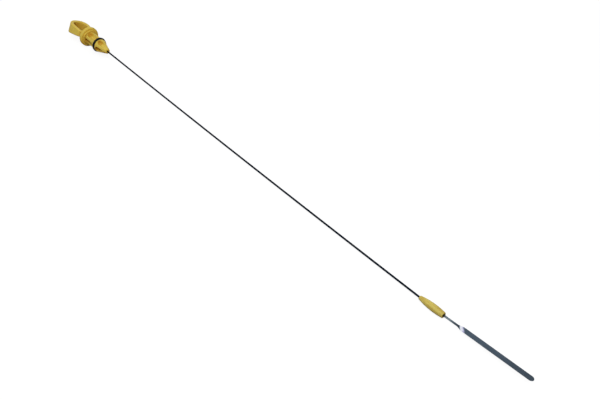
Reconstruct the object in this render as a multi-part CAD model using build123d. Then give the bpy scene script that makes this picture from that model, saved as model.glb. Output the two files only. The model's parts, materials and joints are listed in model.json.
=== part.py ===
from build123d import *
import math
import os

# Engine oil dipstick, lying at rest: a moulded handle with a seal, and a steel wire that
# ends in a flat measuring blade, with a guide bead above it. All lengths are millimetres.
# The stick is drawn along +X from the seat face of the stop disc, then laid on Z = 0.

# Steel wire and measuring blade
wire_dia = 2.0
wire_span = 548.5
blade_width = 5.3
blade_thick = 0.62
blade_length = 74.8
blade_tip_length = 4.0
spread_length = 5.0
ramp_length = 7.0
ramp_skew = 43.0

# Gentle bow of the free wire, and the kick inside the bead that lifts the blade
bow_turn = 1.4
kick_length = 8.0
kick_turn = 3.05
tail_length = 16.7

# Guide bead
bead_length = 29.0
bead_dia = 7.5
bead_top_dia = 4.0
bead_low_dia = 5.8
bead_widest_at = 17.0
bead_end_round = 0.5
bead_recess_dia = 3.8
bead_recess_depth = 2.5

# Stop disc and collar
disc_dia = 25.8
disc_thick = 5.0
disc_draft = 1.5
disc_round = 1.5
collar_dia = 19.0
collar_length = 1.5
moulded_edge = 0.4

# Neck, seal groove and nose
neck_dia = 15.8
seal_station = 23.4
seal_cord_dia = 3.0
seal_seat_dia = 13.2
seal_side_play = 0.2
seal_seat_play = 0.05
land_dia = 16.8
land_length = 2.2
nose_length = 21.2
nose_tip_dia = 6.0
nose_tip_length = 3.0

# Cored pockets between the cross ribs
rib_thick = 3.6
rib_clocking = 35.0
pocket_round = 3.4
pocket_end_wall = 1.2

# Finger ring, measured from the middle of the disc: its plan, and its depth along the hole
loop_length = 36.1
loop_width = 31.8
loop_shoulder_at = 9.3
loop_shoulder_width = 23.8
loop_root_width = 9.0
loop_shoulder_round = 8.0
loop_end_round = 12.4
loop_end_depth = 15.7
loop_root_depth = 6.6
loop_wall = 4.6
loop_round = 1.4
loop_hole_round = 2.0
loop_clocking = 25.0

wire_radius = wire_dia / 2
disc_seat_radius = disc_dia / 2 - disc_thick * math.tan(math.radians(disc_draft))
groove_width = seal_cord_dia + 2 * seal_side_play
groove_start = seal_station - groove_width / 2
groove_end = seal_station + groove_width / 2
nose_start = groove_end + land_length
nose_tip = seal_station + nose_length


def turned_body():
    """All that is round about the stick's axis, as stations, radii and the rounding of each corner."""
    profile = [
        (-disc_thick, 0, 0),
        (-disc_thick, disc_dia / 2, disc_round),
        (0, disc_seat_radius, disc_round),
        (0, collar_dia / 2, 0),
        (collar_length, collar_dia / 2, moulded_edge),
        (collar_length, neck_dia / 2, 0),
        (groove_start, neck_dia / 2, moulded_edge),
        (groove_start, seal_seat_dia / 2, 0),
        (groove_end, seal_seat_dia / 2, 0),
        (groove_end, land_dia / 2, moulded_edge),
        (nose_start, land_dia / 2, moulded_edge),
        (nose_tip, nose_tip_dia / 2, moulded_edge),
        (nose_tip, 0, 0),
    ]
    corners = [(station, radius) for station, radius, edge_round in profile]
    rounds = [edge_round for station, radius, edge_round in profile[1:-1]]
    outline = FilletPolyline(*corners, radius=rounds)
    section = make_face(outline + Line(corners[-1], corners[0]))
    return revolve(Plane.XZ * section, Axis.X)


def scoop(start, end, reach):
    """One cored pocket, with a rounded floor and ends, beside two ribs at right angles."""
    block = Box(end - start, reach, reach, align=(Align.MIN, Align.MIN, Align.MIN))
    floor_edges = block.edges().sort_by(lambda edge: edge.center().Y + edge.center().Z)[:5]
    rounded = fillet(floor_edges, pocket_round)
    return Pos(start, rib_thick / 2, rib_thick / 2) * rounded


def ribbed(body, start, end):
    """Cores four pockets round the axis, which leaves a cross of ribs."""
    cutter = scoop(start, end, disc_dia)
    for quarter in range(4):
        body -= Rot(X=90 * quarter) * cutter
    return body


def loop_plan():
    """Outline of the finger ring: narrow at the disc, shouldered, widest at its round end."""
    side = [
        (0, loop_root_width / 2),
        (-loop_shoulder_at, loop_shoulder_width / 2),
        (-loop_length, loop_width / 2),
    ]
    corners = side + [(x, -y) for x, y in reversed(side)]
    rounds = [loop_shoulder_round, loop_end_round, loop_end_round, loop_shoulder_round]
    outline = FilletPolyline(*corners, radius=rounds)
    return make_face(outline + Line(corners[-1], corners[0]))


def finger_loop():
    """The finger ring: a strap that deepens away from the disc, with softened rims, open along Z."""
    plan = loop_plan()
    hole = offset(plan, -loop_wall)
    hole = fillet(hole.vertices().sort_by(Axis.X)[-2:], loop_hole_round)
    strap = extrude(plan - hole, loop_end_depth, both=True)
    flare = (loop_end_depth - loop_root_depth) / 2 / loop_length
    upper = [(x, loop_root_depth / 2 - flare * x) for x in (loop_wall, -2 * loop_length)]
    lower = [(x, -z) for x, z in reversed(upper)]
    strap &= extrude(Plane.XZ * Polygon(*upper, *lower, align=None), loop_width, both=True)
    rim_faces = strap.faces().filter_by(lambda face: abs(face.normal_at().Z) > 0.5)
    rims = [edge for edge in rim_faces.edges() if edge.center().X < -loop_round]
    return Pos(-disc_thick / 2, 0, 0) * fillet(rims, loop_round)


def make_handle(wire):
    """The whole moulding, its ribs and ring clocked about the stick's axis, moulded round the wire."""
    body = ribbed(turned_body(), collar_length, groove_start - pocket_end_wall)
    body = ribbed(body, nose_start, nose_tip - nose_tip_length)
    body = Rot(X=-rib_clocking) * body + Rot(X=-loop_clocking) * finger_loop()
    return body - wire


def make_o_ring():
    """Rubber seal that sits on the floor of the groove."""
    ring = Torus(seal_seat_dia / 2 + seal_seat_play + seal_cord_dia / 2, seal_cord_dia / 2)
    return Pos(seal_station, 0, 0) * Rot(Y=90) * ring


def wire_path():
    """Centre line in the XZ plane: straight lead, gentle bow, straight run in the bead, kick, tail."""
    lead = Line((collar_length, 0), (nose_tip, 0))
    bow = JernArc(lead @ 1, lead % 1, wire_span / math.radians(bow_turn), bow_turn)
    run = Line(bow @ 1, bow @ 1 + (bow % 1) * bead_widest_at)
    kick = JernArc(run @ 1, run % 1, kick_length / math.radians(kick_turn), kick_turn)
    tail_end = bead_length - bead_widest_at - kick_length + tail_length
    tail = Line(kick @ 1, kick @ 1 + (kick % 1) * tail_end)
    return [Plane.XZ * stretch for stretch in (lead, bow, run, kick, tail)]


def upright_plane(point, tangent):
    """Plane with X along the wire and Z upward, in the plane of the bow."""
    return Plane(origin=point, x_dir=tangent, z_dir=Vector(0, -1, 0).cross(tangent))


def pressed_blade():
    """Wire end pressed flat: a skewed ramp on both faces, then the blade with a bullet tip."""
    round_end = Plane.YZ * Circle(wire_radius)
    spread = Plane.YZ.offset(spread_length) * Ellipse(blade_width / 2, wire_radius)
    total = ramp_length + blade_length
    stock = loft([round_end.face(), spread.face()]) + extrude(spread, total - spread_length)
    press_start = wire_radius * math.sin(math.radians(ramp_skew))
    press_end = press_start + ramp_length * math.cos(math.radians(ramp_skew))
    upper = [
        (-total, wire_radius),
        (press_start, wire_radius),
        (press_end, blade_thick / 2),
        (2 * total, blade_thick / 2),
    ]
    lower = [(x, -z) for x, z in reversed(upper)]
    die = extrude(Plane.XZ * Polygon(*upper, *lower, align=None), 2 * total, both=True)
    tip = Pos(total - blade_tip_length, 0) * Ellipse(blade_tip_length, blade_width / 2)
    shank = Rectangle(total - blade_tip_length, blade_width, align=(Align.MIN, Align.CENTER))
    plan = extrude(tip + shank, wire_dia, both=True)
    return stock & (Rot(Z=ramp_skew) * die) & plan


def make_wire_blade():
    """One piece of steel, from the anchor in the handle to the tip of the blade."""
    path = wire_path()
    section = Plane(origin=path[0] @ 0, z_dir=path[0] % 0) * Circle(wire_radius)
    wire = sweep(section, path=Wire([stretch.edge() for stretch in path]))
    return wire + upright_plane(path[-1] @ 1, path[-1] % 1) * pressed_blade()


def bead_plane():
    """Plane at the bead's upper end, with X on the chord to where the wire leaves the bead."""
    entry = wire_path()[2] @ 0
    tail = wire_path()[-1]
    leave = tail @ 0 + (tail % 0) * (bead_length - bead_widest_at - kick_length)
    return upright_plane(entry, (leave - entry).normalized())


def make_guide_bead(wire):
    """Moulded bead, pointed towards the handle, with a recess round the wire at its lower end."""
    profile = ThreePointArc(
        (0, bead_top_dia / 2),
        (bead_widest_at, bead_dia / 2),
        (bead_length, bead_low_dia / 2),
    )
    recess_floor = bead_length - bead_recess_depth
    rest = Polyline(
        (bead_length, bead_low_dia / 2),
        (bead_length, bead_recess_dia / 2),
        (recess_floor, bead_recess_dia / 2),
        (recess_floor, 0),
        (0, 0),
        (0, bead_top_dia / 2),
    )
    section = make_face(profile + rest)
    section = fillet(section.vertices().sort_by_distance(profile @ 1)[0], bead_end_round)
    bead = revolve(Plane.XZ * section, Axis.X)
    return bead_plane() * bead - wire


def lying_down():
    """Tilt that brings the disc's rim and the bead's belly down onto one level."""
    low_bead = bead_plane().from_local_coords(Vector(bead_widest_at, 0, -bead_dia / 2))
    low_disc = Vector(-disc_thick / 2, 0, -(disc_dia / 2 + disc_seat_radius) / 2)
    step = low_bead - low_disc
    return math.degrees(math.atan2(step.Z, step.X))


wire_blade = make_wire_blade()
nodes = {
    "handle": make_handle(wire_blade),
    "o_ring": make_o_ring(),
    "wire_blade": wire_blade,
    "guide_bead": make_guide_bead(wire_blade),
}
tilted = {name: Rot(Y=lying_down()) * shape for name, shape in nodes.items()}
box = Compound(list(tilted.values())).bounding_box()
floor_centre = Vector(box.center().X, box.center().Y, box.min.Z)

os.makedirs("parts", exist_ok=True)
for name, shape in tilted.items():
    export_step(Pos(-floor_centre) * shape, f"parts/{name}.step")
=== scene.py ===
import json
import math

import bpy
from mathutils import Matrix, Vector


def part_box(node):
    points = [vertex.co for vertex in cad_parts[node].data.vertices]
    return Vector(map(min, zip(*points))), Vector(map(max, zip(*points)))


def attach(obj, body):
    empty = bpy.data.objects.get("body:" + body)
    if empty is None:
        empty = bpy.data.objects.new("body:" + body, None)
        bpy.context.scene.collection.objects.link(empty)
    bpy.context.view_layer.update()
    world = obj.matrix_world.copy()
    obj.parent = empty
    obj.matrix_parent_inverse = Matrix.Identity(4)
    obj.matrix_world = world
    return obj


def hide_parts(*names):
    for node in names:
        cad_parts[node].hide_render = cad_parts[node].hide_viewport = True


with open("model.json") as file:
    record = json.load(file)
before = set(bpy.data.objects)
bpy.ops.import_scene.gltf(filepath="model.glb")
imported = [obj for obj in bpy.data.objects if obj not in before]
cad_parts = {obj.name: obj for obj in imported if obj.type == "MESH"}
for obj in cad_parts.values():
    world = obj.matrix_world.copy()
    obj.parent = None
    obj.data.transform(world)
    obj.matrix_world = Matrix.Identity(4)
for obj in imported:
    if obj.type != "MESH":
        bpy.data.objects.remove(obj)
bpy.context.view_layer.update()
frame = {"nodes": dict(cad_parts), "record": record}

# Engine oil dipstick, lying on a white floor. Lengths are metres unless a name says otherwise.
mm = 0.001

# Steel wire and measuring blade, measured along the stick from the seat face of the stop disc
wire_radius = 1.0 * mm
wire_start = 1.5 * mm
lead_end = 44.6 * mm
bow_length = 548.5 * mm
bow_turn = math.radians(1.4)
run_length = 17.0 * mm
kick_length = 8.0 * mm
kick_turn = math.radians(3.05)
tail_length = 20.7 * mm
blade_reach = 81.8 * mm
blade_half_width = 2.65 * mm
blade_half_thick = 0.31 * mm
blade_tip_length = 4.0 * mm
spread_length = 5.0 * mm
ramp_length = 7.0 * mm
ramp_skew = math.radians(43.0)
round_length = lead_end - wire_start + bow_length + run_length + kick_length + tail_length

# Mesh of the wire and blade: points round each ring, and the spacing of the rings
ring_points = 64
wire_step = 6.0 * mm
kick_step = 1.0 * mm
ramp_step = 0.15 * mm
blade_step = 1.5 * mm
tip_rings = 24
sharp_angle = math.radians(35.0)

# Plastic: clean, aged, with painted shade on the sides that don't face up, and painted shade and grease in
# hollows
handle_tones = {
    "clean": (0.645, 0.484, 0.075),
    "aged": (0.575, 0.404, 0.054),
    "shaded": (0.820, 0.500, 0.050),
    # painted shade: a deep orange tone for the hollows and undersides
    "painted_shade_and_grease": (0.390, 0.152, 0.002),
}
bead_tones = {
    "clean": (0.615, 0.520, 0.128),
    "aged": (0.420, 0.262, 0.026),
    "shaded": (0.600, 0.455, 0.075),
    # painted shade for the recess and underside, and grease at the dipped end
    "painted_shade_and_grease": (0.160, 0.080, 0.006),
}

# A dark band on the plastic beside the seal, whose station is measured from the seat face of the stop disc
seal_station = 23.4 * mm
dark_beside_seal = (0.020, 0.015, 0.006)
seal_band_full = 2.3 * mm
seal_band_end = 3.1 * mm

# Painted shade on the plastic: the reach of a hollow and its limits from the seat face; grease at the bead's
# dipped end
pocket_reach = 6.0 * mm
pocket_shade_start = 0.5 * mm
pocket_shade_full = 2.5 * mm
ring_reach = 18.0 * mm
ring_shade_full = -9.0 * mm
ring_shade_end = -5.0 * mm
dipped_length = 20.0 * mm

# Black rubber of the seal
rubber_clean = (0.004, 0.004, 0.005)
rubber_dusty = (0.012, 0.012, 0.014)

# Steel as a darker and a lighter tone, the wire's painted reflection and painted shade, and what lies on it
wire_tones = ((0.002, 0.005, 0.011), (0.007, 0.014, 0.025))
# painted reflection on the wire past the bead
reflecting_tones = ((0.125, 0.160, 0.187), (0.195, 0.240, 0.272))
blade_tones = ((0.066, 0.092, 0.124), (0.088, 0.118, 0.155))
# painted shade, with grease, where the wire leaves the bead
exit_shade_and_grease = (0.014, 0.010, 0.006)
# painted shade on the wire before the ramp
ramp_shade_on_wire = (0.030, 0.046, 0.066)
blade_scratch = (0.16, 0.18, 0.21)
blade_oil = (0.020, 0.028, 0.036)
steel_edge_tint = (0.40, 0.43, 0.48, 1.0)

# Places of those along the wire from the bead's lower end, and along the blade back from its tip
reflection_lead = 12.0 * mm
exit_shade_full = 0.5 * mm
exit_shade_end = 3.0 * mm
ramp_shade_start = 5.0 * mm
ramp_shade_full = 17.0 * mm
oiled_length = 70.0 * mm

# The burnished ramp, from the round wire to the blade, with a painted highlight in white and violet bands
ramp_first = (0.22, 0.27, 0.32)
ramp_highlight_white = (0.77, 0.79, 0.86)
ramp_highlight_violet = (0.44, 0.43, 0.64)
ramp_last = (0.20, 0.23, 0.31)
ramp_roughness = 0.16

# Noise scales, even for patches and grain, and along X, Y and Z for streaks, drawing lines and scratches
mottle_scale = 260.0
wave_scale = 420.0
grain_scale = 5200.0
film_scale = 330.0
dust_scale = 2100.0
patch_scale = 95.0
band_scale = 560.0
handle_streaks = (25.0, 140.0, 140.0)
bead_streaks = (40.0, 260.0, 260.0)
drawing_lines = (60.0, 5200.0, 5200.0)
fine_scratches = (240.0, 9000.0, 9000.0)

# Height of the surface textures, and how far the plastic's shading rounds its edges
grain_height = 0.03 * mm
wave_height = 0.10 * mm
dust_height = 0.02 * mm
scratch_height = 0.02 * mm
soft_edge = 0.5 * mm

# Camera, fitted to the photograph
image_width = 600
focal_pixels = 850.0
sensor_mm = 36.0
camera_azimuth = math.radians(49.6615)
camera_elevation = math.radians(40.6514)
camera_place = Vector((0.58503, -0.42604, 0.57521))
camera_near = 10.0 * mm

# Light and floor
key_direction = Vector((0.40, -0.34, 0.850)).normalized()
key_distance = 2.2
key_size = 1.7
key_level = 0.64
sky_low = 0.22
sky_high = 0.74
floor_albedo = 0.14
floor_glow = 0.89
floor_size = 8.0


class Nodes:
    """Shorthand for building one material's node tree."""

    def __init__(self, name):
        self.material = bpy.data.materials.new(name)
        self.material.use_nodes = True
        self.tree = self.material.node_tree
        self.shader = self.tree.nodes["Principled BSDF"]
        self.place = self.add("ShaderNodeTexCoord").outputs["Object"]

    def add(self, kind, **settings):
        node = self.tree.nodes.new(kind)
        for name, value in settings.items():
            setattr(node, name, value)
        return node

    def link(self, source, socket):
        self.tree.links.new(source, socket)

    def feed(self, value, socket):
        """Links a socket to another, or sets it to a number or colour."""
        if isinstance(value, bpy.types.NodeSocket):
            self.link(value, socket)
        else:
            socket.default_value = value

    def noise(self, scale, detail, vector=None):
        node = self.add("ShaderNodeTexNoise")
        self.link(vector or self.place, node.inputs["Vector"])
        node.inputs["Scale"].default_value = scale
        node.inputs["Detail"].default_value = detail
        return node.outputs["Fac"]

    def streaks(self, scale, detail):
        """Noise with a scale of its own along each axis."""
        node = self.add("ShaderNodeMapping")
        self.link(self.place, node.inputs["Vector"])
        node.inputs["Scale"].default_value = scale
        return self.noise(1.0, detail, node.outputs["Vector"])

    def spread(self, value, low, high, at_low=0.0, at_high=1.0):
        """Maps a range of values smoothly to another, held at both ends."""
        node = self.add("ShaderNodeMapRange", interpolation_type="SMOOTHSTEP")
        self.link(value, node.inputs["Value"])
        node.inputs["From Min"].default_value = low
        node.inputs["From Max"].default_value = high
        node.inputs["To Min"].default_value = at_low
        node.inputs["To Max"].default_value = at_high
        return node.outputs["Result"]

    def math(self, operation, first, second=0.0):
        node = self.add("ShaderNodeMath", operation=operation)
        self.feed(first, node.inputs[0])
        self.feed(second, node.inputs[1])
        return node.outputs[0]

    def mix(self, share, first, second, kind="RGBA"):
        """Mixes two colours, given as triples or sockets, or two numbers with the kind FLOAT."""
        node = self.add("ShaderNodeMix", data_type=kind)
        self.feed(share, node.inputs["Factor"])
        for value, socket in ((first, node.inputs["A"]), (second, node.inputs["B"])):
            self.feed((*value, 1.0) if isinstance(value, tuple) else value, socket)
        return node.outputs["Result"]

    def bump(self, height, distance, strength, normal=None):
        node = self.add("ShaderNodeBump")
        self.link(height, node.inputs["Height"])
        node.inputs["Distance"].default_value = distance
        node.inputs["Strength"].default_value = strength
        if normal:
            self.link(normal, node.inputs["Normal"])
        return node.outputs["Normal"]

    def softened(self, radius):
        """Normals that run round sharp edges, as a mould's small fillets would make them."""
        node = self.add("ShaderNodeBevel", samples=8)
        node.inputs["Radius"].default_value = radius
        return node.outputs["Normal"]

    def recess(self, distance):
        """0 in corners and pockets, 1 on open surfaces."""
        node = self.add("ShaderNodeAmbientOcclusion", samples=16, only_local=True)
        node.inputs["Distance"].default_value = distance
        return node.outputs["AO"]

    def along(self):
        """Place along the frame's X axis."""
        node = self.add("ShaderNodeSeparateXYZ")
        self.link(self.place, node.inputs["Vector"])
        return node.outputs["X"]

    def past_seat(self):
        """Distance along the stick from the seat face of the stop disc."""
        seat = frame["record"]["mounts"][0]
        offset = self.add("ShaderNodeVectorMath", operation="SUBTRACT")
        self.link(self.place, offset.inputs[0])
        offset.inputs[1].default_value = seat["pos_m"]
        along = self.add("ShaderNodeVectorMath", operation="DOT_PRODUCT")
        self.link(offset.outputs["Vector"], along.inputs[0])
        along.inputs[1].default_value = seat["axis"]
        return along.outputs["Value"]

    def upward(self):
        """1 on surfaces that face up in the frame, -1 on those that face down."""
        node = self.add("ShaderNodeSeparateXYZ")
        self.link(self.add("ShaderNodeNewGeometry").outputs["Normal"], node.inputs["Vector"])
        return node.outputs["Z"]

    def attribute(self, name):
        return self.add("ShaderNodeAttribute", attribute_name=name).outputs["Fac"]

    def finish(self, colour, roughness, normal, **others):
        """Feeds the shader. Other inputs go by their names, with _ for a space."""
        self.feed(colour, self.shader.inputs["Base Color"])
        self.feed(roughness, self.shader.inputs["Roughness"])
        self.link(normal, self.shader.inputs["Normal"])
        for name, value in others.items():
            self.feed(value, self.shader.inputs[name.replace("_", " ")])
        return self.material


def mottle(n):
    """Faint cloudy patches of the plastic's skin."""
    return n.noise(mottle_scale, detail=4.0)


def plastic_colour(n, tones, streak_scale):
    """Plastic without grease: flow streaks, mottling, and a deeper tone painted as shade on the sides that
    don't face up.
    """
    flow = n.spread(n.streaks(streak_scale, detail=4.0), 0.40, 0.64, at_high=0.60)
    body = n.mix(flow, tones["clean"], tones["aged"])
    body = n.mix(n.spread(mottle(n), 0.45, 0.75, at_high=0.30), body, tones["aged"])
    # painted shade: the shaded tone on sides that face down or sideways
    shade = n.spread(n.upward(), -0.40, 0.45, at_low=1.0, at_high=0.0)
    return n.mix(shade, body, tones["shaded"])


def satin_plastic(n, colour, shade_and_grease):
    """Satin skin with a fine eroded texture, slight waves and softened edges, less glossy where shade and
    grease are painted.
    """
    grain = n.noise(grain_scale, detail=2.0)
    waves = n.noise(wave_scale, detail=2.0)
    normal = n.bump(grain, grain_height, strength=0.35, normal=n.softened(soft_edge))
    normal = n.bump(waves, wave_height, strength=0.20, normal=normal)
    roughness = n.spread(mottle(n), 0.30, 0.75, at_low=0.42, at_high=0.56)
    # the gloss drops where the shade and grease are painted
    gloss = n.spread(shade_and_grease, 0.0, 0.8, at_low=0.20, at_high=0.03)
    return n.finish(colour, roughness, normal, Specular_IOR_Level=gloss)


def handle_painted_shade(n):
    """Painted shade in the pockets of the neck and nose, inside the finger ring and underneath, less on
    surfaces that face up.
    """
    # painted shade: pockets, ring inside and undersides darker, surfaces that face up kept lighter
    facing_up = n.math("MULTIPLY", n.upward(), 0.12)
    pockets = n.math("ADD", n.recess(pocket_reach), facing_up)
    pockets = n.spread(pockets, 0.70, 1.0, at_low=0.90, at_high=0.0)
    below_disc = n.spread(n.past_seat(), pocket_shade_start, pocket_shade_full)
    inside = n.spread(n.recess(ring_reach), 0.45, 0.95, at_low=1.0, at_high=0.0)
    above_disc = n.spread(n.past_seat(), ring_shade_full, ring_shade_end, at_low=1.0, at_high=0.0)
    hollows = n.math(
        "MAXIMUM",
        n.math("MULTIPLY", pockets, below_disc),
        n.math("MULTIPLY", inside, above_disc),
    )
    underneath = n.spread(n.upward(), -0.60, 0.10, at_low=0.90, at_high=0.0)
    return n.math("ADD", hollows, underneath)


def handle_plastic():
    """Yellow moulded plastic, with painted shade in its hollows and underneath, and darker beside the seal.
    """
    n = Nodes("handle_plastic")
    shade_and_grease = handle_painted_shade(n)
    # mixes in the deep tone as painted shade
    colour = n.mix(shade_and_grease, plastic_colour(n, handle_tones, handle_streaks), handle_tones["painted_shade_and_grease"])
    from_seal = n.math("ABSOLUTE", n.math("SUBTRACT", n.past_seat(), seal_station))
    # a darker band on the plastic on both sides of the seal
    beside_seal = n.spread(from_seal, seal_band_full, seal_band_end, at_low=0.85, at_high=0.0)
    return satin_plastic(n, n.mix(beside_seal, colour, dark_beside_seal), shade_and_grease)


def bead_shade_and_grease(n):
    """Painted shade in the recess and underneath, and grease more and more towards the bead's lower end."""
    low_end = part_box("guide_bead")[1].x
    # painted shade in the recess and underneath; grease towards the dipped end
    recess = n.spread(n.recess(pocket_reach), 0.62, 0.95, at_low=1.0, at_high=0.0)
    dipped = n.spread(n.along(), low_end - dipped_length, low_end, at_high=0.22)
    underneath = n.spread(n.upward(), -0.55, 0.15, at_low=0.40, at_high=0.0)
    return n.math("ADD", n.math("MAXIMUM", recess, dipped), underneath)


def bead_plastic():
    """The handle's kind of plastic, paler, with painted shade in its recess and underneath, and dirtier
    towards the oil.
    """
    n = Nodes("bead_plastic")
    shade_and_grease = bead_shade_and_grease(n)
    # mixes in the deep tone as painted shade, with grease at the dipped end
    colour = n.mix(shade_and_grease, plastic_colour(n, bead_tones, bead_streaks), bead_tones["painted_shade_and_grease"])
    return satin_plastic(n, colour, shade_and_grease)


def seal_rubber():
    """Black rubber with a film of oil: smooth wet patches over a dull, slightly dusty ground."""
    n = Nodes("seal_rubber")
    film = n.noise(film_scale, detail=3.0)
    dust = n.noise(dust_scale, detail=3.0)
    colour = n.mix(n.spread(dust, 0.50, 0.80, at_high=0.6), rubber_clean, rubber_dusty)
    roughness = n.spread(film, 0.35, 0.65, at_low=0.45, at_high=0.65)
    normal = n.bump(dust, dust_height, strength=0.4)
    return n.finish(colour, roughness, normal, Specular_IOR_Level=0.09)


def wire_colour(n, lines):
    """Dark bare wire with a painted reflection that makes it bright past the bead, painted shade with grease
    where it leaves the bead, and painted shade before the ramp.
    """
    bead_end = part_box("guide_bead")[1].x
    past_bead = n.math("SUBTRACT", n.along(), bead_end)
    # painted shade and grease where the wire leaves the bead
    painted_shade_and_grease = n.spread(past_bead, exit_shade_full, exit_shade_end, at_low=0.9, at_high=0.0)
    reflecting = n.mix(painted_shade_and_grease, n.mix(lines, *reflecting_tones), exit_shade_and_grease)
    # painted reflection: brighter tones on the wire past the bead
    wire = n.mix(n.spread(past_bead, -reflection_lead, 0.0), n.mix(lines, *wire_tones), reflecting)
    # painted shade: darker wire before the ramp
    return n.mix(n.spread(past_bead, ramp_shade_start, ramp_shade_full), wire, ramp_shade_on_wire)


def blade_colour(n, scratch):
    """Blue-grey steel in soft patches, with pale scratches and more oil towards the tip."""
    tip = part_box("wire_blade")[1].x
    blade = n.mix(n.spread(n.noise(patch_scale, detail=4.0), 0.3, 0.7), *blade_tones)
    blade = n.mix(n.spread(scratch, 0.62, 0.75, at_high=0.35), blade, blade_scratch)
    oiled = n.spread(n.along(), tip - oiled_length, tip, at_high=0.45)
    return n.mix(oiled, blade, blade_oil)


def ramp_colour(n):
    """Uneven bands that follow the press across the ramp, a painted highlight: white, violet, then the
    blade's grey.
    """
    uneven = n.spread(n.noise(band_scale, detail=1.0), 0.3, 0.7, at_low=-0.14, at_high=0.14)
    place = n.math("ADD", n.attribute("flat"), uneven)
    bright = n.mix(n.spread(place, 0.02, 0.30), ramp_first, ramp_highlight_white)
    bright = n.mix(n.spread(place, 0.40, 0.66), bright, ramp_highlight_violet)
    return n.mix(n.spread(place, 0.70, 0.96), bright, ramp_last)


def drawn_steel():
    """Dark drawn wire, bright where the press burnished the ramp and painted with a highlight there,
    blue-grey on the blade.
    """
    n = Nodes("drawn_steel")
    lines = n.streaks(drawing_lines, detail=3.0)
    scratch = n.streaks(fine_scratches, detail=2.0)
    burnish_and_highlight = n.attribute("burnish_and_highlight")
    colour = n.mix(n.attribute("flat"), wire_colour(n, lines), blade_colour(n, scratch))
    # the burnished ramp with its painted highlight
    colour = n.mix(n.spread(burnish_and_highlight, 0.0, 0.7), colour, ramp_colour(n))
    dull = n.spread(lines, 0.25, 0.75, at_low=0.34, at_high=0.46)
    roughness = n.mix(burnish_and_highlight, dull, ramp_roughness, kind="FLOAT")
    normal = n.bump(scratch, scratch_height, strength=0.25)
    return n.finish(colour, roughness, normal, Metallic=1.0, Specular_Tint=steel_edge_tint)


def path_at(distance):
    """Point and heading of the wire's centre line, in the XZ plane, before the stick is laid down."""
    point, heading, left = Vector((wire_start, 0.0, 0.0)), 0.0, distance
    stretches = (
        (lead_end - wire_start, 0.0),
        (bow_length, bow_turn),
        (run_length, 0.0),
        (kick_length, kick_turn),
        (tail_length + blade_reach, 0.0),
    )
    for length, turn in stretches:
        part = min(left, length)
        half = turn * part / length / 2
        chord = part * (math.sin(half) / half if half else 1.0)
        point += chord * Vector((math.cos(heading + half), 0.0, math.sin(heading + half)))
        heading += 2 * half
        left -= part
    return point, heading


def ramp_share(along, across):
    """How far the press has flattened a point: 0 on the round wire, 1 on the blade."""
    start = wire_radius * math.sin(ramp_skew)
    span = ramp_length * math.cos(ramp_skew)
    pressed = along * math.cos(ramp_skew) + across * math.sin(ramp_skew)
    return min(1.0, max(0.0, (pressed - start) / span))


def blade_point(along, angle):
    """Point of the section at a distance past the round wire, and how far it is flattened."""
    spread = min(1.0, max(0.0, along / spread_length))
    half_width = wire_radius + spread * (blade_half_width - wire_radius)
    across = half_width * math.cos(angle)
    tip = max(0.0, along - blade_reach + blade_tip_length) / blade_tip_length
    limit = blade_half_width * math.sqrt(max(0.0, 1.0 - tip * tip))
    across = min(limit, max(-limit, across))
    share = ramp_share(along, across) if along > 0 else 0.0
    half_thick = wire_radius + share * (blade_half_thick - wire_radius)
    height = min(half_thick, max(-half_thick, wire_radius * math.sin(angle)))
    return across, height, share


def spaced(start, end, step):
    """Even stations from start up to, and without, end."""
    count = max(1, math.ceil((end - start) / step))
    return [start + (end - start) * i / count for i in range(count)]


def ring_stations():
    """Distances of the rings along the centre line, closest where the wire turns into the blade."""
    kick_start = round_length - tail_length - kick_length
    ramp_end = round_length + 2 * ramp_length
    tip_start = round_length + blade_reach - blade_tip_length
    stations = spaced(0.0, kick_start, wire_step)
    stations += spaced(kick_start, round_length, kick_step)
    stations += spaced(round_length, ramp_end, ramp_step)
    stations += spaced(ramp_end, tip_start, blade_step)
    turns = [math.pi / 2 * i / tip_rings for i in range(tip_rings)]
    return stations + [tip_start + blade_tip_length * math.sin(turn) for turn in turns]


def ring_faces(ring_count):
    """Quads between neighbouring rings, and a cap at each end."""
    faces = []
    last = (ring_count - 1) * ring_points
    for a in range(0, last, ring_points):
        b = a + ring_points
        for i in range(ring_points):
            j = (i + 1) % ring_points
            faces.append((a + i, a + j, b + j, b + i))
    faces.append(tuple(reversed(range(ring_points))))
    faces.append(tuple(range(last, last + ring_points)))
    return faces


def make_wire_blade():
    """The bowed wire, the pressed ramp and the blade, with how far each point is flattened and burnished,
    which also places the ramp's painted highlight.
    """
    stations = ring_stations()
    sideways = Vector((0.0, 1.0, 0.0))
    points, flats = [], []
    for station in stations:
        middle, heading = path_at(station)
        up = Vector((-math.sin(heading), 0.0, math.cos(heading)))
        for i in range(ring_points):
            angle = 2 * math.pi * i / ring_points
            across, height, share = blade_point(station - round_length, angle)
            points.append(middle + across * sideways + height * up)
            flats.append(share)
    burnish_and_highlight_values = [4 * share * (1 - share) for share in flats]
    mesh = bpy.data.meshes.new("wire_and_blade")
    mesh.from_pydata(points, [], ring_faces(len(stations)))
    for name, values in (("flat", flats), ("burnish_and_highlight", burnish_and_highlight_values)):
        layer = mesh.attributes.new(name, "FLOAT", "POINT")
        layer.data.foreach_set("value", values)
    mesh.shade_smooth()
    mesh.set_sharp_from_angle(angle=sharp_angle)
    return mesh


def laid_down():
    """The tilt that lays the drawn stick down, read from the seat mount's axis."""
    axis = Vector(frame["record"]["mounts"][0]["axis"])
    tilt = math.atan2(-axis.z, axis.x)
    return Matrix.Rotation(tilt, 4, "Y")


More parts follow.
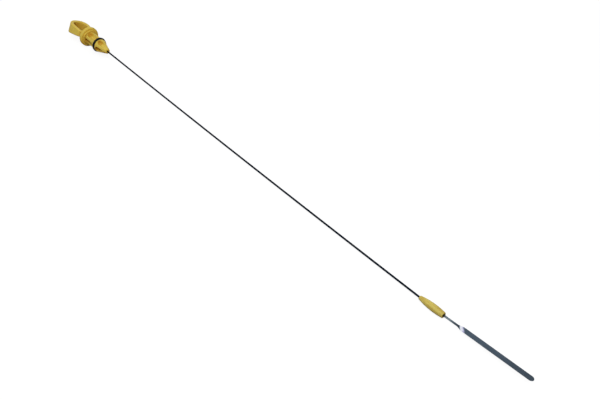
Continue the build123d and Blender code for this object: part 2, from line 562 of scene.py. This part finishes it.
def add_wire_blade():
    """Puts the wire and blade where their CAD node is, by its tip and its highest point."""
    piece = bpy.data.objects.new("wire_and_blade", make_wire_blade())
    bpy.context.scene.collection.objects.link(piece)
    piece.data.transform(laid_down())
    corners = [vertex.co for vertex in piece.data.vertices]
    far_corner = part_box("wire_blade")[1]
    tip_gap = far_corner.x - max(corner.x for corner in corners)
    top_gap = far_corner.z - max(corner.z for corner in corners)
    piece.data.transform(Matrix.Translation((tip_gap, 0.0, top_gap)))
    piece.data.materials.append(drawn_steel())
    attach(piece, "root")
    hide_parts("wire_blade")


def dress(node, material):
    """Gives a CAD node its finished material."""
    mesh = frame["nodes"][node].data
    mesh.materials.clear()
    mesh.materials.append(material)


def seen_directly(tree):
    """1 for rays that show a surface to the camera, straight or through a reflection."""
    path = tree.nodes.new("ShaderNodeLightPath")
    total = path.outputs["Is Camera Ray"]
    for name in ("Is Glossy Ray", "Is Transmission Ray"):
        most = tree.nodes.new("ShaderNodeMath")
        most.operation = "MAXIMUM"
        tree.links.new(total, most.inputs[0])
        tree.links.new(path.outputs[name], most.inputs[1])
        total = most.outputs[0]
    return total


def floor_paint():
    """White to the eye, with a dim diffuse share that takes the soft shadow."""
    material = bpy.data.materials.new("white_floor")
    material.use_nodes = True
    tree = material.node_tree
    tree.nodes.clear()
    diffuse = tree.nodes.new("ShaderNodeBsdfDiffuse")
    diffuse.inputs["Color"].default_value = (floor_albedo, floor_albedo, floor_albedo, 1.0)
    level = tree.nodes.new("ShaderNodeMath")
    level.operation = "MULTIPLY"
    level.inputs[1].default_value = floor_glow
    tree.links.new(seen_directly(tree), level.inputs[0])
    glow = tree.nodes.new("ShaderNodeEmission")
    tree.links.new(level.outputs[0], glow.inputs["Strength"])
    both = tree.nodes.new("ShaderNodeAddShader")
    tree.links.new(diffuse.outputs[0], both.inputs[0])
    tree.links.new(glow.outputs[0], both.inputs[1])
    output = tree.nodes.new("ShaderNodeOutputMaterial")
    tree.links.new(both.outputs[0], output.inputs["Surface"])
    return material


def make_floor():
    """A plain white square under the stick."""
    half = floor_size / 2
    corners = [(-half, -half, 0.0), (half, -half, 0.0), (half, half, 0.0), (-half, half, 0.0)]
    mesh = bpy.data.meshes.new("floor")
    mesh.from_pydata(corners, [], [range(len(corners))])
    mesh.materials.append(floor_paint())
    floor = bpy.data.objects.new("floor", mesh)
    bpy.context.scene.collection.objects.link(floor)


def make_sky():
    """White all round to the eye and to reflections, and a softer fill for the light."""
    world = bpy.data.worlds.new("studio")
    bpy.context.scene.world = world
    world.use_nodes = True
    tree = world.node_tree
    place = tree.nodes.new("ShaderNodeTexCoord")
    axes = tree.nodes.new("ShaderNodeSeparateXYZ")
    tree.links.new(place.outputs["Generated"], axes.inputs["Vector"])
    fill = tree.nodes.new("ShaderNodeMapRange")
    fill.inputs["To Min"].default_value = sky_low
    fill.inputs["To Max"].default_value = sky_high
    tree.links.new(axes.outputs["Z"], fill.inputs["Value"])
    level = tree.nodes.new("ShaderNodeMapRange")
    level.inputs["To Max"].default_value = 1.0
    tree.links.new(fill.outputs["Result"], level.inputs["To Min"])
    tree.links.new(seen_directly(tree), level.inputs["Value"])
    background = tree.nodes["Background"]
    background.inputs["Color"].default_value = (1.0, 1.0, 1.0, 1.0)
    tree.links.new(level.outputs["Result"], background.inputs["Strength"])


def make_key():
    """One large soft lamp. Its power gives a white surface that faces it the named level."""
    lamp = bpy.data.lights.new("key", "AREA")
    lamp.shape = "DISK"
    lamp.size = key_size
    lamp.energy = key_level * math.pi ** 2 * key_distance ** 2
    key = bpy.data.objects.new("key", lamp)
    key.location = key_direction * key_distance
    key.rotation_mode = "QUATERNION"
    key.rotation_quaternion = (-key_direction).to_track_quat("-Z", "Y")
    bpy.context.scene.collection.objects.link(key)


def make_camera():
    """The photograph's camera, by its angles, its place and its focal length."""
    data = bpy.data.cameras.new("camera")
    data.sensor_width = sensor_mm
    data.lens = focal_pixels * sensor_mm / image_width
    data.clip_start = camera_near
    level = math.cos(camera_elevation)
    back = Vector((
        math.sin(camera_azimuth) * level,
        -math.cos(camera_azimuth) * level,
        math.sin(camera_elevation),
    ))
    camera = bpy.data.objects.new("camera", data)
    camera.location = camera_place
    camera.rotation_mode = "QUATERNION"
    camera.rotation_quaternion = (-back).to_track_quat("-Z", "Y")
    bpy.context.scene.collection.objects.link(camera)
    bpy.context.scene.camera = camera


dress("handle", handle_plastic())
dress("guide_bead", bead_plastic())
dress("o_ring", seal_rubber())
add_wire_blade()

make_floor()
make_sky()
make_key()
make_camera()
bpy.context.scene.view_settings.view_transform = "Standard"
